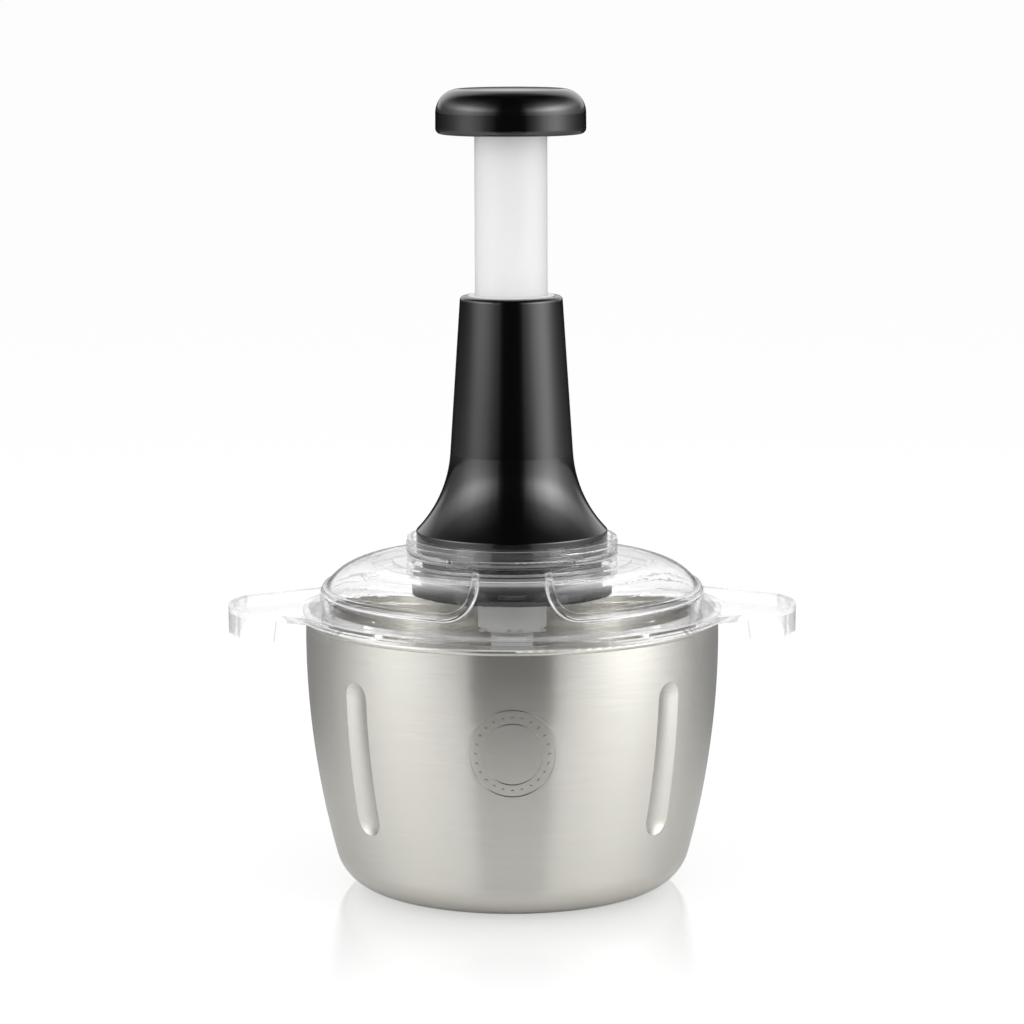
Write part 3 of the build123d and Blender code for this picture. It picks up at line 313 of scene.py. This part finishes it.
# What polished surfaces reflect of the room: two tall softboxes, brighter on the +X side.
SOFTBOX_AROUND = [
    (0.0, 0.003), (0.08, 0.005), (0.115, 0.04), (0.14, 0.16), (0.205, 0.36), (0.28, 0.72), (0.35, 0.96),
    (0.41, 1.0), (0.48, 0.78), (0.57, 0.42), (0.66, 0.22), (0.78, 0.09), (0.90, 0.03), (1.0, 0.03),
]
SOFTBOX_ABOVE = [
    (0.0, 0.285), (0.5, 0.285), (0.60, 0.42), (0.665, 0.72), (0.70, 0.66), (0.75, 0.45), (0.80, 0.20),
    (0.86, 0.09), (0.93, 0.03), (1.0, 0.015),
]
SOFTBOX_PEAK = 6.8
SOFTBOX_TO_RIGHT = 0.23

# Below the horizon the table shows them too, wider and dimmer, and it is pale in front of the
# object. The fill is that paleness, which fades upwards.
BELOW_HORIZON = [(0.455, 1.0), (0.49, 0.0)]
TABLE_AROUND = [
    (0.0, 0.0), (0.085, 0.0), (0.12, 0.10), (0.138, 0.60), (0.185, 0.82), (0.25, 0.93), (0.33, 0.99),
    (0.40, 0.98), (0.48, 0.86), (0.57, 0.67), (0.68, 0.43), (0.85, 0.26), (1.0, 0.22),
]
TABLE_FILL_ABOVE = [(0.10, 0.42), (0.26, 0.38), (0.35, 0.25), (0.425, 0.16)]
TABLE_FILL_AROUND = [
    (0.0, 1.12), (0.10, 1.1), (0.14, 0.40), (0.25, 0.08), (0.48, 0.08), (0.62, 0.10), (0.8, 0.06),
    (1.0, 0.06),
]
TABLE_PEAK = 1.6
TABLE_TO_RIGHT = 0.03

# A white wall at the back. Its second ramp and the ceiling's go by the direction's Z, 1 straight up.
WALL_AROUND = [(0.74, 0.0), (0.86, 0.9)]
WALL_BY_Z = [(0.05, 0.0), (0.11, 1.0), (0.7, 1.0), (0.95, 0.3)]
CEILING_BY_Z = [(0.75, 0.0), (1.0, 1.0)]
CEILING_DARKENING = -0.96

# Under the lid, reflections are brighter, and never darker than the least.
UNDER_GLASS_GAIN = 0.4
UNDER_GLASS_LIFT = 0.27
UNDER_GLASS_LEAST = 0.5


def ray_masks(g):
    """Masks for a ray: it sees the background itself, it reflects it, and it does so under glass."""
    path = g.add("ShaderNodeLightPath").outputs
    through_glass = g.math("GREATER_THAN", path["Transmission Depth"], 0.5)
    reflected = g.math("GREATER_THAN", path["Glossy Depth"], 0.5)
    unreflected = g.math("SUBTRACT", 1.0, reflected)
    direct = g.math("MAXIMUM", path["Is Camera Ray"], g.product(through_glass, unreflected))
    return direct, path["Is Glossy Ray"], g.product(through_glass, reflected)


def add_world():
    """White where it is seen directly. In reflections it is a dark room with two tall softboxes."""
    world = bpy.data.worlds.new("studio")
    bpy.context.scene.world = world
    world.use_nodes = True
    world.cycles.sampling_method = "NONE"
    g = Graph(world.node_tree)
    direct, glossy, under_glass = ray_masks(g)
    way = g.add("ShaderNodeSeparateXYZ", Vector=g.add("ShaderNodeTexCoord").outputs["Generated"])
    to_right, up = way.outputs["X"], way.outputs["Z"]
    azimuth = g.azimuth(way)
    height = g.math("MULTIPLY_ADD", up, 0.5, 0.5)

    upper = g.product(g.ramp(azimuth, SOFTBOX_AROUND), g.ramp(height, SOFTBOX_ABOVE), SOFTBOX_PEAK)
    upper = g.product(upper, g.math("MULTIPLY_ADD", to_right, SOFTBOX_TO_RIGHT, 1.0))
    fill = g.product(g.ramp(azimuth, TABLE_FILL_AROUND), g.ramp(height, TABLE_FILL_ABOVE))
    lower = g.product(g.math("ADD", g.ramp(azimuth, TABLE_AROUND), fill), TABLE_PEAK)
    lower = g.product(lower, g.math("MULTIPLY_ADD", to_right, TABLE_TO_RIGHT, 1.0))
    below = g.ramp(height, BELOW_HORIZON)
    upper = g.product(upper, g.math("SUBTRACT", 1.0, below))
    softboxes = g.math("ADD", g.product(lower, below), upper)

    wall = g.product(g.ramp(azimuth, WALL_AROUND), g.ramp(up, WALL_BY_Z))
    ceiling = g.math("MULTIPLY_ADD", g.ramp(up, CEILING_BY_Z), CEILING_DARKENING, 1.0)
    studio = g.product(g.math("ADD", softboxes, wall), ceiling)
    gain = g.math("MULTIPLY_ADD", under_glass, UNDER_GLASS_GAIN, 1.0)
    studio = g.math("MULTIPLY_ADD", studio, gain, g.product(under_glass, UNDER_GLASS_LIFT))
    studio = g.math("MAXIMUM", studio, g.product(under_glass, UNDER_GLASS_LEAST))

    shown = g.mix(glossy, grey(LIGHTING_GREY), studio)
    background = world.node_tree.nodes["Background"]
    g.put_all(background, {"Color": g.mix(direct, shown, grey(SEEN_WHITE)), "Strength": 1.0})


# The table. For reflections it opens with the distance from the object's axis, and the room's
# lower half shows through it: by the near share up to DISTANT, and beyond it by azimuth.
TABLE_OPENS = [(0.07, 0.0), (0.085, 0.35), (0.17, 0.5), (0.28, 0.85), (0.35, 1.0)]
DISTANT = 0.95
NEAR_SHARE = 0.70
DISTANT_SHARE = [
    (0.10, 0.08), (0.14, 0.20), (0.21, 0.52), (0.28, 0.85), (0.355, 1.0), (0.44, 1.0), (0.53, 0.72),
    (0.68, 0.4), (0.85, 0.1),
]
DISTANT_TO_RIGHT = 0.13
TABLE_MATT = 0.88
# Seen directly it is mostly a steady white, so that the object's shadow on it is faint. The
# object is mirrored in it, most strongly at its foot.
TABLE_SHADED = 0.3
TABLE_STEADY = 0.74
MIRROR_ROUGHNESS = 0.06
MIRROR_SHARE = 0.26
MIRROR_START = 0.07
MIRROR_END = 0.19
TABLE_REACH = 60.0


def add_floor():
    """A white table, shaded under the object, with a reflection that fades away from it."""
    material, g, shader, place = new_material("floor_white")
    g.tree.nodes.remove(shader)
    direct, glossy = ray_masks(g)[:2]
    length = g.add("ShaderNodeVectorMath", operation="LENGTH")
    g.put(length.inputs[0], place)
    distance = length.outputs["Value"]
    across = g.add("ShaderNodeSeparateXYZ", Vector=place)

    to_right = g.math("DIVIDE", across.outputs["X"], distance)
    right_share = g.math("MULTIPLY_ADD", to_right, DISTANT_TO_RIGHT, 1.0 - DISTANT_TO_RIGHT)
    distant_share = g.product(g.ramp(g.azimuth(across), DISTANT_SHARE), right_share)
    share = g.mix(g.math("GREATER_THAN", distance, DISTANT), grey(NEAR_SHARE), distant_share)
    opened = g.product(g.ramp(distance, TABLE_OPENS), glossy)
    matt = g.add("ShaderNodeBsdfDiffuse", Color=grey(TABLE_MATT))
    reflected = g.mix_shaders(opened, matt, g.add("ShaderNodeBsdfTransparent", Color=share))

    shaded = g.add("ShaderNodeBsdfDiffuse", Color=grey(TABLE_SHADED))
    steady = g.add("ShaderNodeEmission", Color=grey(1.0), Strength=TABLE_STEADY)
    white = g.in_order(g.add("ShaderNodeAddShader"), (shaded, steady))
    mirror = g.add("ShaderNodeBsdfAnisotropic", Color=grey(1.0), Roughness=MIRROR_ROUGHNESS)
    fade = g.span(distance, MIRROR_SHARE, 0.0, start=MIRROR_START, end=MIRROR_END)
    polished = g.mix_shaders(fade, white, mirror)
    surface = g.mix_shaders(direct, reflected, polished)
    g.put(g.tree.nodes["Material Output"].inputs["Surface"], surface)

    mesh = bpy.data.meshes.new("floor")
    sides = ((-1, -1), (1, -1), (1, 1), (-1, 1))
    mesh.from_pydata([(TABLE_REACH * x, TABLE_REACH * y, 0) for x, y in sides], [], [(0, 1, 2, 3)])
    mesh.materials.append(material)
    floor = bpy.data.objects.new("floor", mesh)
    bpy.context.scene.collection.objects.link(floor)


LAMP_AIM = Vector((0, 0, 0.15))
TALL_SOFTBOX = {"elevation": 12, "distance": 1.3, "width": 0.55, "height": 1.3, "radiance": 2.0}


def add_lamp(name, azimuth, elevation, distance, width, height, radiance):
    """A softbox facing the object. Azimuth 0 is the camera's side, and +90 is +X."""
    data = bpy.data.lights.new(name, "AREA")
    data.shape = "RECTANGLE"
    data.size = width
    data.size_y = height
    data.energy = radiance * math.pi * width * height
    lamp = bpy.data.objects.new(name, data)
    a, e = math.radians(azimuth), math.radians(elevation)
    outwards = Vector((math.sin(a) * math.cos(e), -math.cos(a) * math.cos(e), math.sin(e)))
    lamp.location = LAMP_AIM + distance * outwards
    lamp.rotation_euler = outwards.to_track_quat("Z", "Y").to_euler()
    lamp.visible_camera = False
    lamp.visible_glossy = False
    bpy.context.scene.collection.objects.link(lamp)


# --- Springs ------------------------------------------------------------------------------
STEPS_A_TURN = 40
WIRE_SIDES = 12
RETURN_WIRE, RETURN_TURNS = 0.0013, 9
CLUTCH_WIRE, CLUTCH_TURNS = 0.0008, 3


def coil(name, low, high, outer_radius, wire, turns, material):
    """A round-wire compression spring between two heights."""
    steps = STEPS_A_TURN * turns
    rise = high - low - wire
    mesh = bmesh.new()
    rings = []
    for step in range(steps + 1):
        share = step / steps
        angle = 2 * math.pi * turns * share
        outwards = Vector((math.cos(angle), math.sin(angle), 0))
        middle = Vector((0, 0, low + wire / 2 + rise * share))
        centre = outwards * (outer_radius - wire / 2) + middle
        ring = []
        for side in range(WIRE_SIDES):
            turn = 2 * math.pi * side / WIRE_SIDES
            offset = outwards * math.cos(turn) + Vector((0, 0, math.sin(turn)))
            ring.append(mesh.verts.new(centre + offset * wire / 2))
        rings.append(ring)
    for a, b in zip(rings, rings[1:]):
        for side in range(WIRE_SIDES):
            after = (side + 1) % WIRE_SIDES
            mesh.faces.new((a[side], a[after], b[after], b[side]))
    mesh.faces.new(rings[0])
    mesh.faces.new(list(reversed(rings[-1])))
    bmesh.ops.recalc_face_normals(mesh, faces=mesh.faces)
    data = bpy.data.meshes.new(name)
    mesh.to_mesh(data)
    mesh.free()
    data.materials.append(material)
    for polygon in data.polygons:
        polygon.use_smooth = True
    piece = bpy.data.objects.new(name, data)
    bpy.context.scene.collection.objects.link(piece)
    return piece


# --- Build --------------------------------------------------------------------------------
bpy.context.scene.view_settings.view_transform = "Standard"
add_camera()
add_world()
add_floor()
add_lamp("softbox_left", azimuth=-55, **TALL_SOFTBOX)
add_lamp("softbox_right", azimuth=55, **TALL_SOFTBOX)
add_lamp("softbox_top", azimuth=0, elevation=80, distance=1.2, width=0.8, height=0.8, radiance=1.0)

# Each material: its colour, and its roughness from its smoothest to its roughest spots.
JET = (0.0022, 0.0022, 0.0024)
black = plastic("gloss_black_plastic", JET, (0.08, 0.12), index=1.7)
black_base = plastic("black_base_plastic", JET, (0.08, 0.12), index=1.42)
inner = plastic("satin_black_plastic", (0.03, 0.03, 0.032), (0.38, 0.5))
white = plastic("satin_white_plastic", (0.90, 0.895, 0.89), (0.32, 0.42), speck=0.03, subsurface=0.3)
milky = plastic("milky_tube_plastic", (0.905, 0.905, 0.905), (0.26, 0.34), speck=0.03, subsurface=0.6)
acetal = plastic("natural_acetal", (0.76, 0.75, 0.70), (0.35, 0.45), speck=0.04, subsurface=0.2)
spring_wire = plain_steel("drawn_spring_wire", (0.60, 0.60, 0.61), (0.2, 0.32), (300, 300, 900))
blade_steel = plain_steel("ground_blade_steel", (0.74, 0.74, 0.74), (0.14, 0.28), (500, 60, 500))
fastener = plain_steel("plated_fastener_steel", (0.58, 0.58, 0.60), (0.24, 0.38), (700, 700, 700))
bronze = plain_steel("sintered_bronze", (0.62, 0.42, 0.20), (0.35, 0.5), (1600, 1600, 1600))

dress(bowl_steel(), "bowl")
dress(clear_plastic(), "lid")
dress(black, "housing", "knob_cap")
dress(black_base, "base_cap")
dress(inner, "clutch_cup", "nut_retainer", "knob_insert")
dress(white, "blade_spindle", "spacer_lower", "spacer_upper", "blade_nut", "guide_ring")
dress(milky, "plunger_tube")
dress(acetal, "output_driver", "clutch_ring", "ratchet_hub", "drive_nut")
dress(blade_steel, "blade_lower", "blade_middle", "blade_upper")
dress(fastener, "base_screws", "cup_screws", "retainer_screws", "knob_bolt", "pivot_pin")
dress(fastener, "driver_washer", "spiral_rod", "rod_pin")
dress(bronze, "pivot_bush", "output_bush")

low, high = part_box("return_spring")
return_coil = coil("return_coil", low.z, high.z, high.x, RETURN_WIRE, RETURN_TURNS, spring_wire)
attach(return_coil, "lid")
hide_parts("return_spring")
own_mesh(return_coil)

low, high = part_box("clutch_spring")
clutch_coil = coil("clutch_coil", low.z, high.z, high.x, CLUTCH_WIRE, CLUTCH_TURNS, spring_wire)
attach(clutch_coil, "output")
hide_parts("clutch_spring")
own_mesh(clutch_coil)
